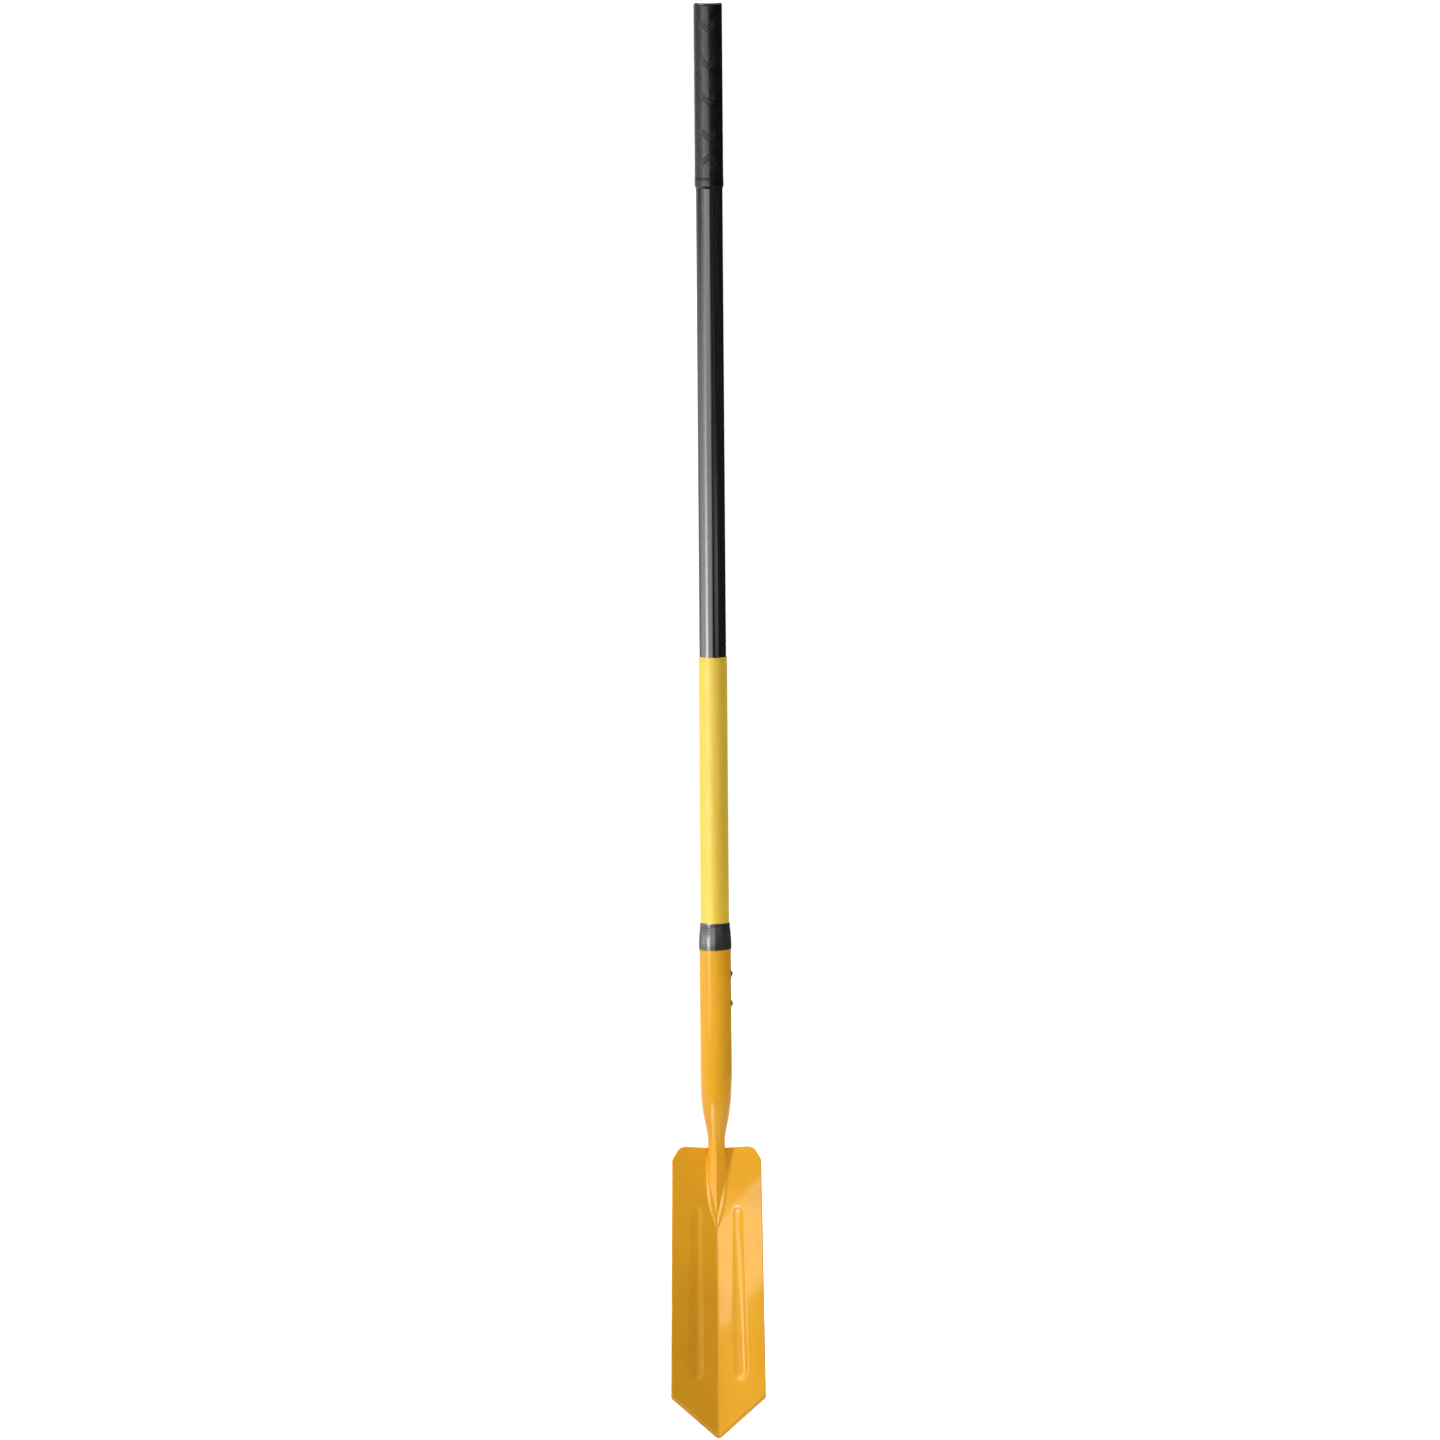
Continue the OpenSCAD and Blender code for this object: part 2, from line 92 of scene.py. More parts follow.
# Beads: across the wing from the fold, and along it from the top edge
BEAD_TOP = (0.024, -0.0698)
BEAD_FOOT = (0.0263, -0.2398)
BEAD_TOP_HALF = 0.0058
BEAD_FOOT_HALF = 0.0092
BEAD_TOP_DEPTH = 0.0016
BEAD_FOOT_DEPTH = 0.0026
BEAD_SOFTNESS = 0.0005

# V marks of the grip: levels of the points of the first and last that point down, and of the
# one that points up
MARK_FIRST = 0.063
MARK_LAST = -0.0522
MARK_BACK = -0.065
MARK_STEP = 0.0384
MARK_HALF = 0.0064
MARK_BAND = 0.002
MARK_GAP = 0.0044
MARK_BANK = 0.0012
MARK_DEPTH = 0.00045

# Colours as they look under plain white light, linear
ENAMEL = (0.745, 0.362, 0.019)
LEMON = (0.84, 0.57, 0.04)
RESIN_BLACK = (0.008, 0.008, 0.009)
FIBRE_GREY = (0.034, 0.032, 0.031)
RUBBER_BLACK = (0.006, 0.006, 0.006)
COLLAR_GREY = (0.030, 0.030, 0.031)
RIVET_STEEL = (0.23, 0.22, 0.21)
WOOD_PALE = (0.58, 0.37, 0.15)
WOOD_DARK = (0.33, 0.17, 0.06)
PLUG_BLACK = (0.022, 0.022, 0.024)
GLOSS_IOR = 1.47

# The two sets of scuffs: how each is turned, and how far it is squeezed along the spade
SCUFF_LAYS = (((0.35, 0.35, 0.105), 0.05), ((-0.5, -0.5, -0.15), 0.08))
SCUFF_FINENESS = 9.0

# Floor and room
FLOOR_DROP = 0.0005
FLOOR_SIZE = 120.0
FLOOR_SHADE = 0.4
FLOOR_GLOW = 0.93
AMBIENT = 0.2

# Soft lamps for matt light, aimed at the middle of the spade: name, azimuth, distance, level,
# width, height, power
MIDDLE = Vector((0.0, 0.0, -0.7))
FILLS = (
    ("front_fill", 24.0, 3.0, 0.1, 1.2, 1.5, 36.0),
    ("side_key", -58.0, 2.6, -0.3, 0.3, 1.6, 43.0),
    ("back_right_fill", 142.0, 3.0, -0.4, 0.8, 2.0, 46.0),
    ("back_left_fill", -142.0, 3.0, -0.4, 0.8, 2.0, 34.0),
)

# Spots for matt light: name, azimuth, distance, level, target, power, cone in degrees, softness
SPOT_RADIUS = 0.1
SPOTS = (
    ("socket_spot", -5.0, 3.0, -0.45, (0.0, 0.0, -1.0), 75.0, 6.4, 0.6),
    ("wing_spot", 30.0, 3.0, -1.0, (-0.036, -0.01, -1.165), 420.0, 1.7, 1.0),
)

# The lamp above, which throws the neck's shadow on the blade
NECK = Vector((0.0, 0.0, -1.13))
OVERHEAD_PLACE = NECK + 5.0 * Vector((-0.36, 0.08, 0.93))
OVERHEAD_SIZE = 0.3
OVERHEAD_POWER = 140.0

# Cards that only the glossy pieces mirror: name, azimuth, distance, half spread in degrees,
# lower edge, upper edge, brightness
CARDS = (
    ("low_card_far", -105.0, 4.0, 9.0, -1.42, -0.9, 3.0),
    ("low_card_side", -76.0, 4.0, 20.0, -1.42, -0.9, 6.0),
    ("low_card_bright", -46.0, 4.0, 10.0, -1.42, -0.9, 26.0),
    ("low_card_front", -18.0, 4.0, 18.0, -1.42, -0.9, 5.0),
    ("high_card_far", -96.0, 4.0, 18.0, -0.9, -0.66, 2.0),
    ("high_card_side", -66.0, 4.0, 12.0, -0.9, -0.7, 7.0),
    ("high_card_front", -27.0, 4.0, 27.0, -0.9, -0.72, 2.5),
    ("grip_card", -20.0, 4.0, 26.0, -0.72, -0.25, 5.0),
    ("right_card", 35.0, 1.3, 14.0, -0.77, -0.58, 1.9),
    ("back_card", 184.0, 3.0, 13.0, -2.2, 0.8, 5.0),
)

# The slanted card close to the right wing: its sheen starts at the tip of the neck, rises as it
# goes outwards and reaches some way down the wing
NECK_TIP = Vector((0.0, -0.0103, -1.2105))
WING_CARD_RISE = 0.934
WING_CARD_DROP = 0.118
WING_CARD_DISTANCE = 0.15
WING_CARD_LENGTH = 0.24
WING_CARD_BRIGHTNESS = 5.5

# Dark panels that only the glossy pieces mirror: name, azimuth, distance, level, width, height,
# whether it faces up instead of the spade
FLAG_BLACK = 0.01
FLAGS = (
    ("right_flag", 59.5, 1.6, -0.7, 4.9, 4.0, False),
    ("floor_flag", 0.0, 3.2, -1.42, 8.0, 4.6, True),
    ("back_flag", 140.0, 2.5, -0.4, 3.0, 3.0, False),
    ("upper_left_flag", -82.0, 4.2, -0.06, 5.2, 1.1, False),
)

# Colour sockets of Blender's Mix node, by number: both inputs and the result
MIX_A, MIX_B, MIX_RESULT = 6, 7, 2


class Wiring:
    """Adds nodes to one tree and links them by socket name."""

    def __init__(self, tree):
        self.tree = tree

    def add(self, kind, settings=None, **values):
        """A node with its settings; an underscore in a socket's name stands for a space."""
        node = self.tree.nodes.new(kind)
        for name, value in (settings or {}).items():
            setattr(node, name, value)
        for name, value in values.items():
            self.feed(node.inputs[name.replace("_", " ")], value)
        return node

    def feed(self, target, value):
        """Links a socket to another, or sets it to a plain value."""
        if isinstance(value, bpy.types.NodeSocket):
            self.tree.links.new(value, target)
        else:
            target.default_value = value

    def maths(self, operation, a, b=0.0):
        node = self.add("ShaderNodeMath", {"operation": operation})
        self.feed(node.inputs[0], a)
        self.feed(node.inputs[1], b)
        return node.outputs[0]

    def blend(self, factor, a, b):
        """Colour a where the factor is 0, colour b where it is 1."""
        node = self.add("ShaderNodeMix", {"data_type": "RGBA"}, Factor=factor)
        self.feed(node.inputs[MIX_A], a)
        self.feed(node.inputs[MIX_B], b)
        return node.outputs[MIX_RESULT]

    def ramp(self, value, low, high, at_low=0.0, at_high=1.0):
        """Goes smoothly from one number to another while a value goes from low to high."""
        node = self.add(
            "ShaderNodeMapRange",
            {"interpolation_type": "SMOOTHSTEP"},
            Value=value,
            From_Min=low,
            From_Max=high,
            To_Min=at_low,
            To_Max=at_high,
        )
        return node.outputs["Result"]

    def between(self, mask, at_0, at_1):
        """One number where a mask is 0, another where it is 1."""
        return self.ramp(mask, 0.0, 1.0, at_0, at_1)

    def tones(self, mask, colour, dark, light):
        """A colour that goes from a darker to a lighter tone of itself along a mask."""
        return self.blend(mask, rgba(colour, dark), rgba(colour, light))

    def place(self):
        """The place on the piece, in its own coordinates."""
        return self.add("ShaderNodeTexCoord").outputs["Object"]

    def seen_or_mirrored(self):
        """1 for rays that show a surface: from the camera, off gloss or through glass."""
        path = self.add("ShaderNodeLightPath").outputs
        seen = self.maths("MAXIMUM", path["Is Camera Ray"], path["Is Glossy Ray"])
        return self.maths("MAXIMUM", seen, path["Is Transmission Ray"])


def rgba(colour, gain=1.0):
    return (colour[0] * gain, colour[1] * gain, colour[2] * gain, 1.0)


def new_group(name, inputs, outputs):
    """A shader node group with named number sockets, and its two end nodes."""
    group = bpy.data.node_groups.new(name, "ShaderNodeTree")
    for label in inputs:
        group.interface.new_socket(label, in_out="INPUT", socket_type="NodeSocketFloat")
    for label in outputs:
        group.interface.new_socket(label, in_out="OUTPUT", socket_type="NodeSocketFloat")
    start = group.nodes.new("NodeGroupInput")
    end = group.nodes.new("NodeGroupOutput")
    return group, start.outputs, end.inputs


def make_streaks_group():
    """Lines drawn out along the shaft: fine noise across it, long along it."""
    inputs = ("Across", "Along", "Detail")
    group, given, result = new_group("lengthwise_streaks", inputs, ("Mask",))
    w = Wiring(group)
    across = given["Across"]
    stretch = w.add("ShaderNodeCombineXYZ", X=across, Y=across, Z=given["Along"])
    scaled = w.add("ShaderNodeVectorMath", {"operation": "MULTIPLY"})
    w.feed(scaled.inputs[0], w.place())
    w.feed(scaled.inputs[1], stretch.outputs["Vector"])
    noise = w.add(
        "ShaderNodeTexNoise",
        Vector=scaled.outputs["Vector"],
        Scale=1.0,
        Detail=given["Detail"],
        Roughness=0.6,
    )
    w.feed(result["Mask"], w.ramp(noise.outputs["Fac"], low=0.28, high=0.72))
    return group


def make_grain_group():
    """Fine skin of a moulded or sprayed surface over slow unevenness."""
    inputs = ("Fine", "Broad", "Fine Share")
    group, given, result = new_group("skin_grain", inputs, ("Height", "Tone"))
    w = Wiring(group)
    place = w.place()
    fine = w.add(
        "ShaderNodeTexNoise", Vector=place, Scale=given["Fine"], Detail=2.0, Roughness=0.5
    )
    broad = w.add(
        "ShaderNodeTexNoise", Vector=place, Scale=given["Broad"], Detail=3.0, Roughness=0.55
    )
    mixed = w.add(
        "ShaderNodeMix",
        {"data_type": "FLOAT"},
        Factor=given["Fine Share"],
        A=broad.outputs["Fac"],
        B=fine.outputs["Fac"],
    )
    w.feed(result["Height"], mixed.outputs["Result"])
    w.feed(result["Tone"], w.ramp(broad.outputs["Fac"], low=0.3, high=0.7))
    return group


def make_scuffs_group():
    """Sparse fine scratches from handling, in two slanted directions."""
    group, given, result = new_group("handling_scuffs", ("Scale", "Amount"), ("Mask",))
    w = Wiring(group)
    place = w.place()
    masks = []
    for turn, squeeze in SCUFF_LAYS:
        laid = w.add("ShaderNodeMapping", Vector=place)
        laid.inputs["Rotation"].default_value = turn
        laid.inputs["Scale"].default_value = (1.0, 1.0, squeeze)
        lines = w.add(
            "ShaderNodeTexNoise",
            Vector=laid.outputs["Vector"],
            Scale=w.maths("MULTIPLY", given["Scale"], SCUFF_FINENESS),
            Detail=1.0,
            Roughness=0.4,
        )
        masks.append(w.ramp(lines.outputs["Fac"], low=0.70, high=0.76))
    patches = w.add("ShaderNodeTexNoise", Vector=place, Scale=given["Scale"], Detail=2.0)
    where = w.ramp(patches.outputs["Fac"], low=0.5, high=0.68)
    shown = w.maths("MULTIPLY", w.maths("MAXIMUM", *masks), where)
    w.feed(result["Mask"], w.maths("MULTIPLY", shown, given["Amount"]))
    return group


STREAKS = make_streaks_group()
GRAIN = make_grain_group()
SCUFFS = make_scuffs_group()


def new_material(name):
    """A node material with its Principled shader, and the wiring to add to it."""
    material = bpy.data.materials.new(name)
    material.use_nodes = True
    shader = material.node_tree.nodes["Principled BSDF"]
    return material, shader, Wiring(material.node_tree)


def use_group(w, group, **values):
    """Places a shared effect in a material with its own values, and gives what it puts out."""
    return w.add("ShaderNodeGroup", {"node_tree": group}, **values).outputs


def lay_on(w, shader, colour, roughness, height, depth, strength=1.0):
    """Feeds a shader its colour, its roughness and a bump of some depth."""
    w.feed(shader.inputs["Base Color"], colour)
    w.feed(shader.inputs["Roughness"], roughness)
    bump = w.add("ShaderNodeBump", Height=height, Strength=strength, Distance=depth)
    w.feed(shader.inputs["Normal"], bump.outputs["Normal"])


def make_enamel():
    """Glossy sprayed enamel on steel, with orange peel, slow tone and light scuffs."""
    material, shader, w = new_material("enamel")
    peel = use_group(w, GRAIN, Fine=420.0, Broad=22.0, Fine_Share=0.7)
    scuffs = use_group(w, SCUFFS, Scale=45.0, Amount=0.25)["Mask"]
    tone = w.tones(peel["Tone"], ENAMEL, dark=0.98, light=1.02)
    colour = w.blend(scuffs, tone, rgba(ENAMEL, gain=0.72))
    sheen = w.between(peel["Tone"], at_0=0.09, at_1=0.13)
    roughness = w.maths("ADD", sheen, w.maths("MULTIPLY", scuffs, 0.25))
    shader.inputs["IOR"].default_value = GLOSS_IOR
    shader.inputs["Specular IOR Level"].default_value = 0.25
    lay_on(w, shader, colour, roughness, peel["Height"], depth=0.00006, strength=0.4)
    return material


def make_lemon_plastic():
    """Smooth shrunk-on plastic sleeve, faintly drawn out along the shaft."""
    material, shader, w = new_material("lemon_plastic")
    streaks = use_group(w, STREAKS, Across=320.0, Along=6.0, Detail=3.0)["Mask"]
    skin = use_group(w, GRAIN, Fine=900.0, Broad=30.0, Fine_Share=0.35)
    scuffs = use_group(w, SCUFFS, Scale=55.0, Amount=0.5)["Mask"]
    tone = w.tones(streaks, LEMON, dark=0.955, light=1.03)
    colour = w.blend(scuffs, tone, rgba(LEMON, gain=0.78))
    roughness = w.between(skin["Tone"], at_0=0.34, at_1=0.42)
    shader.inputs["IOR"].default_value = GLOSS_IOR
    lay_on(w, shader, colour, roughness, skin["Height"], depth=0.00004, strength=0.4)
    return material


def make_fibreglass():
    """Black resin over lengthwise glass fibre: die lines catch the light as long streaks."""
    material, shader, w = new_material("black_fibreglass")
    lines = use_group(w, STREAKS, Across=330.0, Along=1.1, Detail=2.0)["Mask"]
    fibres = use_group(w, STREAKS, Across=1500.0, Along=9.0, Detail=4.0)["Mask"]
    scuffs = use_group(w, SCUFFS, Scale=70.0, Amount=0.7)["Mask"]
    bared = w.ramp(lines, low=0.2, high=1.0, at_low=0.1, at_high=0.75)
    tone = w.blend(w.maths("MULTIPLY", fibres, bared), rgba(RESIN_BLACK), rgba(FIBRE_GREY))
    colour = w.blend(scuffs, tone, rgba(FIBRE_GREY, gain=1.8))
    gloss = w.between(lines, at_0=0.11, at_1=0.2)
    roughness = w.maths("ADD", gloss, w.maths("MULTIPLY", fibres, 0.04))
    height = w.maths("ADD", lines, w.maths("MULTIPLY", fibres, 0.12))
    lay_on(w, shader, colour, roughness, height, depth=0.00006, strength=0.6)
    return material


def sunk_marks(w):
    """Where the V marks are sunk into the grip, 0 to 1, with soft banks."""
    place = w.add("ShaderNodeSeparateXYZ", Vector=w.place())
    across = w.maths("ABSOLUTE", place.outputs["X"])
    level = place.outputs["Z"]
    half_band = MARK_BAND / 2.0
    half_bank = MARK_BANK / 2.0

    def within(distance, limit):
        return w.ramp(distance, limit - half_bank, limit + half_bank, at_low=1.0, at_high=0.0)

    def two_bands(along):
        masks = []
        for middle in (half_band, MARK_GAP + half_band):
            off = w.maths("ABSOLUTE", w.maths("SUBTRACT", along, middle))
            masks.append(within(off, half_band))
        return w.maths("MAXIMUM", *masks)

    # Distance up from the point of the nearest mark that points down
    up = w.maths("SUBTRACT", level, across)
    turn = w.maths("MODULO", w.maths("SUBTRACT", up, MARK_LAST - MARK_BAND), MARK_STEP)
    down_marks = two_bands(w.maths("SUBTRACT", turn, MARK_BAND))
    below_end = w.maths("LESS_THAN", up, MARK_FIRST + MARK_STEP / 2.0)
    above_last = w.maths("GREATER_THAN", up, MARK_LAST - MARK_BAND)
    down_marks = w.maths("MULTIPLY", down_marks, w.maths("MULTIPLY", below_end, above_last))
    up_mark = two_bands(w.maths("SUBTRACT", MARK_BACK, w.maths("ADD", level, across)))
    arms = within(across, MARK_HALF)
    return w.maths("MULTIPLY", w.maths("MAXIMUM", down_marks, up_mark), arms)


def make_rubber():
    """Satin moulded rubber with a fine skin and sunk V marks."""
    material, shader, w = new_material("grip_rubber")
    skin = use_group(w, GRAIN, Fine=2600.0, Broad=75.0, Fine_Share=0.45)
    scuffs = use_group(w, SCUFFS, Scale=80.0, Amount=0.8)["Mask"]
    tone = w.tones(skin["Tone"], RUBBER_BLACK, dark=0.8, light=1.4)
    colour = w.blend(scuffs, tone, rgba(RUBBER_BLACK, gain=4.0))
    roughness = w.between(skin["Tone"], at_0=0.26, at_1=0.34)
    height = w.maths("SUBTRACT", w.maths("MULTIPLY", skin["Height"], 0.03), sunk_marks(w))
    shader.inputs["Specular IOR Level"].default_value = 0.4
    lay_on(w, shader, colour, roughness, height, depth=MARK_DEPTH)
    return material


def make_collar_plastic():
    """Semi-gloss dark grey plastic with faint rings from its mould."""
    material, shader, w = new_material("collar_plastic")
    skin = use_group(w, GRAIN, Fine=1800.0, Broad=60.0, Fine_Share=0.4)
    rings = w.add(
        "ShaderNodeTexWave",
        {"wave_type": "BANDS", "bands_direction": "Z"},
        Vector=w.place(),
        Scale=95.0,
        Distortion=0.6,
        Detail=1.0,
    )
    colour = w.tones(skin["Tone"], COLLAR_GREY, dark=0.85, light=1.2)
    roughness = w.between(skin["Tone"], at_0=0.18, at_1=0.26)
    height = w.maths("ADD", skin["Height"], w.maths("MULTIPLY", rings.outputs["Fac"], 0.5))
    lay_on(w, shader, colour, roughness, height, depth=0.00008, strength=0.5)
    return material


def make_rivet_steel():
    """Dark plain steel, rubbed brighter here and there."""
    material, shader, w = new_material("rivet_steel")
    skin = use_group(w, GRAIN, Fine=2400.0, Broad=420.0, Fine_Share=0.5)
    colour = w.tones(skin["Tone"], RIVET_STEEL, dark=0.55, light=1.5)
    roughness = w.between(skin["Tone"], at_0=0.46, at_1=0.30)
    shader.inputs["Metallic"].default_value = 1.0
    lay_on(w, shader, colour, roughness, skin["Height"], depth=0.00006, strength=0.6)
    return material


def make_wood():
    """Hardwood with its grain along the shaft."""
    material, shader, w = new_material("core_wood")
    grain = use_group(w, STREAKS, Across=260.0, Along=7.0, Detail=5.0)["Mask"]
    skin = use_group(w, GRAIN, Fine=1600.0, Broad=50.0, Fine_Share=0.6)
    colour = w.blend(grain, rgba(WOOD_DARK), rgba(WOOD_PALE))
    roughness = w.between(grain, at_0=0.7, at_1=0.55)
    lay_on(w, shader, colour, roughness, skin["Height"], depth=0.00012, strength=0.5)
    return material


def make_plug_plastic():
    """Plain moulded plastic of the hidden plug."""
    material, shader, w = new_material("plug_plastic")
    skin = use_group(w, GRAIN, Fine=1500.0, Broad=55.0, Fine_Share=0.5)
    colour = w.tones(skin["Tone"], PLUG_BLACK, dark=0.8, light=1.3)
    roughness = w.between(skin["Tone"], at_0=0.42, at_1=0.55)
    lay_on(w, shader, colour, roughness, skin["Height"], depth=0.0001, strength=0.4)
    return material


def start_piece(name, size):
    """Names the unit primitive that was just added, gives it its size and opens it."""
    piece = bpy.context.object
    piece.name = name
    piece.data.name = name
    piece.scale = size
    bpy.ops.object.transform_apply(location=True, rotation=True, scale=True)
    bpy.ops.object.mode_set(mode="EDIT")
    return piece


def pick_edges(piece, test):
    """Selects, in edit mode, just the edges whose two ends pass a test."""
    bpy.ops.mesh.select_mode(type="EDGE")
    bpy.ops.mesh.select_all(action="DESELECT")
    bpy.ops.object.mode_set(mode="OBJECT")
    points = piece.data.vertices
    for edge in piece.data.edges:
        edge.select = all(test(points[i].co) for i in edge.vertices)
    bpy.ops.object.mode_set(mode="EDIT")


def cut_flat(place, out, **settings):
    """Cuts the open flat piece along a line: a place on the line, and the way out across it."""
    bpy.ops.mesh.select_all(action="SELECT")
    bpy.ops.mesh.bisect(
        plane_co=(place.x, place.y, 0.0), plane_no=(out.x, out.y, 0.0), **settings
    )


def turn_all(angle, axis):
    """Turns the whole open piece about an axis through the origin."""
    bpy.ops.mesh.select_all(action="SELECT")
    bpy.ops.transform.rotate(value=angle, orient_axis=axis, center_override=(0.0, 0.0, 0.0))


def apply_modifier(piece, kind, **settings):
    """Adds a modifier with its settings and applies it, in object mode."""
    modifier = piece.modifiers.new(kind.lower(), kind)
    for name, value in settings.items():
        setattr(modifier, name, value)
    bpy.ops.object.modifier_apply(modifier=modifier.name)


def push(piece, name, weights, axis, distance):
    """Moves points along an axis, each by its own share: a list of (vertex, share)."""
    group = piece.vertex_groups.new(name=name)
    for index, share in weights:
        group.add([index], share, "REPLACE")
    apply_modifier(
        piece, "DISPLACE", vertex_group=name, direction=axis, strength=distance, mid_level=0.0
    )


def rounded_corner(before, corner, after, radius):
    """Points along the arc that rounds a corner between two straight sides."""
    corner = Vector(corner)
    back = (Vector(before) - corner).normalized()
    on = (Vector(after) - corner).normalized()
    half = back.angle(on) / 2.0
    middle = corner + (back + on).normalized() * radius / math.sin(half)
    start = corner + back * radius / math.tan(half) - middle
    turn = (corner + on * radius / math.tan(half) - middle).angle(start)
    turn *= math.copysign(1.0, (corner - Vector(before)).cross(Vector(after) - corner))
    return [
        middle + Matrix.Rotation(turn * step / CORNER_STEPS, 2) @ start
        for step in range(CORNER_STEPS + 1)
    ]


def laid_flat(point):
    """A point of the outline on the flat wing, clear of the back face's greater width."""
    across = point[0] - SHEET * math.sin(WING_ANGLE)
    return Vector((across / math.cos(WING_ANGLE), point[1]))


def point_edge():
    """A place on the edge of the point, laid flat, and the direction out of the blade there."""
    way = (laid_flat(SHOULDER) - laid_flat(TIP)).normalized()
    return laid_flat(TIP), Vector((way.y, -way.x))


def blade_edge_line():
    """The right half of the blade's outline, laid flat, from the tip to the top."""
    left_shoulder = (-SHOULDER[0], SHOULDER[1])
    tip_arc = rounded_corner(left_shoulder, TIP, SHOULDER, TIP_RADIUS)
    line = (
        tip_arc[CORNER_STEPS // 2:]
        + rounded_corner(TIP, SHOULDER, SIDE_TOP, SHOULDER_RADIUS)
        + rounded_corner(SHOULDER, SIDE_TOP, TOP_CORNER, CLIP_RADIUS)
        + rounded_corner(SIDE_TOP, TOP_CORNER, TOP_MIDDLE, CLIP_RADIUS)
        + [Vector(TOP_MIDDLE)]
    )
    return [laid_flat(p) for p in line]


def bead_depth(across, along):
    """How far a bead is pressed back at a point of the flat wing, softened at its rim."""
    start = Vector(BEAD_TOP)
    way = Vector(BEAD_FOOT) - start
    here = Vector((across, along)) - start
    share = min(max(here.dot(way) / way.length_squared, 0.0), 1.0)
    half = BEAD_TOP_HALF + (BEAD_FOOT_HALF - BEAD_TOP_HALF) * share
    deepest = BEAD_TOP_DEPTH + (BEAD_FOOT_DEPTH - BEAD_TOP_DEPTH) * share
    depth = deepest * (1.0 - ((here - way * share).length / half) ** 2)
    if depth >= BEAD_SOFTNESS:
        return depth
    return max(depth + BEAD_SOFTNESS, 0.0) ** 2 / (4.0 * BEAD_SOFTNESS)


def ground_share(point):
    """How much of the grinding a front point of the folded blade gets, 1 at the edge."""
    place, out = point_edge()
    here = Vector((abs(point.x) / math.cos(WING_ANGLE), point.y)) - place
    return min(max(1.0 + here.dot(out) / GROUND_WIDTH, 0.0), 1.0)


def cut_blank():
    """The flat right half of the blade, cut to its outline, with a narrow strip at the fold."""
    line = blade_edge_line()
    width = max(p.x for p in line) + SHEET - FOLD_STRIP
    length = -TIP[1] + SHEET
    bpy.ops.object.select_all(action="DESELECT")
    bpy.ops.mesh.primitive_grid_add(
        x_subdivisions=BLANK_CELLS[0],
        y_subdivisions=BLANK_CELLS[1],
        size=1.0,
        location=(FOLD_STRIP + width / 2.0, (SHEET - length) / 2.0, 0.0),
    )
    blade = start_piece("blade_sheet", (width, length, 1.0))

    # The strip along the fold, one face wide
    pick_edges(blade, lambda p: p.x < FOLD_STRIP + EDGE_ROUNDING)
    bpy.ops.mesh.extrude_region_move(TRANSFORM_OT_translate={"value": (-FOLD_STRIP, 0.0, 0.0)})

    # Outline, and the inner line of the ground edge
    for here, there in zip(line, line[1:]):
        way = (there - here).normalized()
        cut_flat(here, Vector((way.y, -way.x)), clear_outer=True, threshold=MERGE_WITHIN)
    place, out = point_edge()
    cut_flat(place - GROUND_WIDTH * out, out)
    bpy.ops.mesh.select_all(action="SELECT")
    bpy.ops.mesh.dissolve_degenerate(threshold=EDGE_ROUNDING)
    bpy.ops.object.mode_set(mode="OBJECT")
    return blade


def press_bead(blade):
    """Presses the bead back into the flat half blade."""
    shares = [(v.index, bead_depth(v.co.x, v.co.y) / BEAD_FOOT_DEPTH) for v in blade.data.vertices]
    pressed = [(index, share) for index, share in shares if share > 0.0]
    push(blade, "bead", pressed, "Z", -BEAD_FOOT_DEPTH)


def fold_sheet(blade):
    """Folds the half blade up, mirrors it and rounds the fold."""
    bpy.ops.object.mode_set(mode="EDIT")
    turn_all(WING_ANGLE, "Y")
    bpy.ops.object.mode_set(mode="OBJECT")
    apply_modifier(blade, "MIRROR", use_axis=(True, False, False), merge_threshold=MERGE_WITHIN)
    bpy.ops.object.mode_set(mode="EDIT")
    pick_edges(blade, lambda p: abs(p.x) < MERGE_WITHIN)
    fold_half = FOLD_RADIUS * math.tan(WING_ANGLE)
    bpy.ops.mesh.bevel(offset=fold_half, segments=FOLD_STEPS, affect="EDGES")
    bpy.ops.object.mode_set(mode="OBJECT")


def thicken_and_grind(blade):
    """Gives the sheet its thickness, grinds its front along the point and rounds its rims."""
    front = len(blade.data.vertices)
    apply_modifier(blade, "SOLIDIFY", thickness=SHEET, offset=-1.0, use_even_offset=True)
    shares = [(v.index, v.co.x, ground_share(v.co)) for v in blade.data.vertices[:front]]
    ground = [(index, share) for index, x, share in shares if share > 0.0]
    ground_right = [(index, share) for index, x, share in shares if share > 0.0 and x > 0.0]
    ground_left = [(index, share) for index, x, share in shares if share > 0.0 and x < 0.0]
    sideways = GROUND_DEPTH * math.sin(WING_ANGLE)
    backwards = GROUND_DEPTH * math.cos(WING_ANGLE)
    push(blade, "ground", ground, "Z", -backwards)
    push(blade, "ground_right", ground_right, "X", sideways)
    push(blade, "ground_left", ground_left, "X", -sideways)
    apply_modifier(
        blade,
        "BEVEL",
        limit_method="ANGLE",
        angle_limit=EDGE_ANGLE,
        width=EDGE_ROUNDING,
        segments=EDGE_STEPS,
        use_clamp_overlap=False,
    )


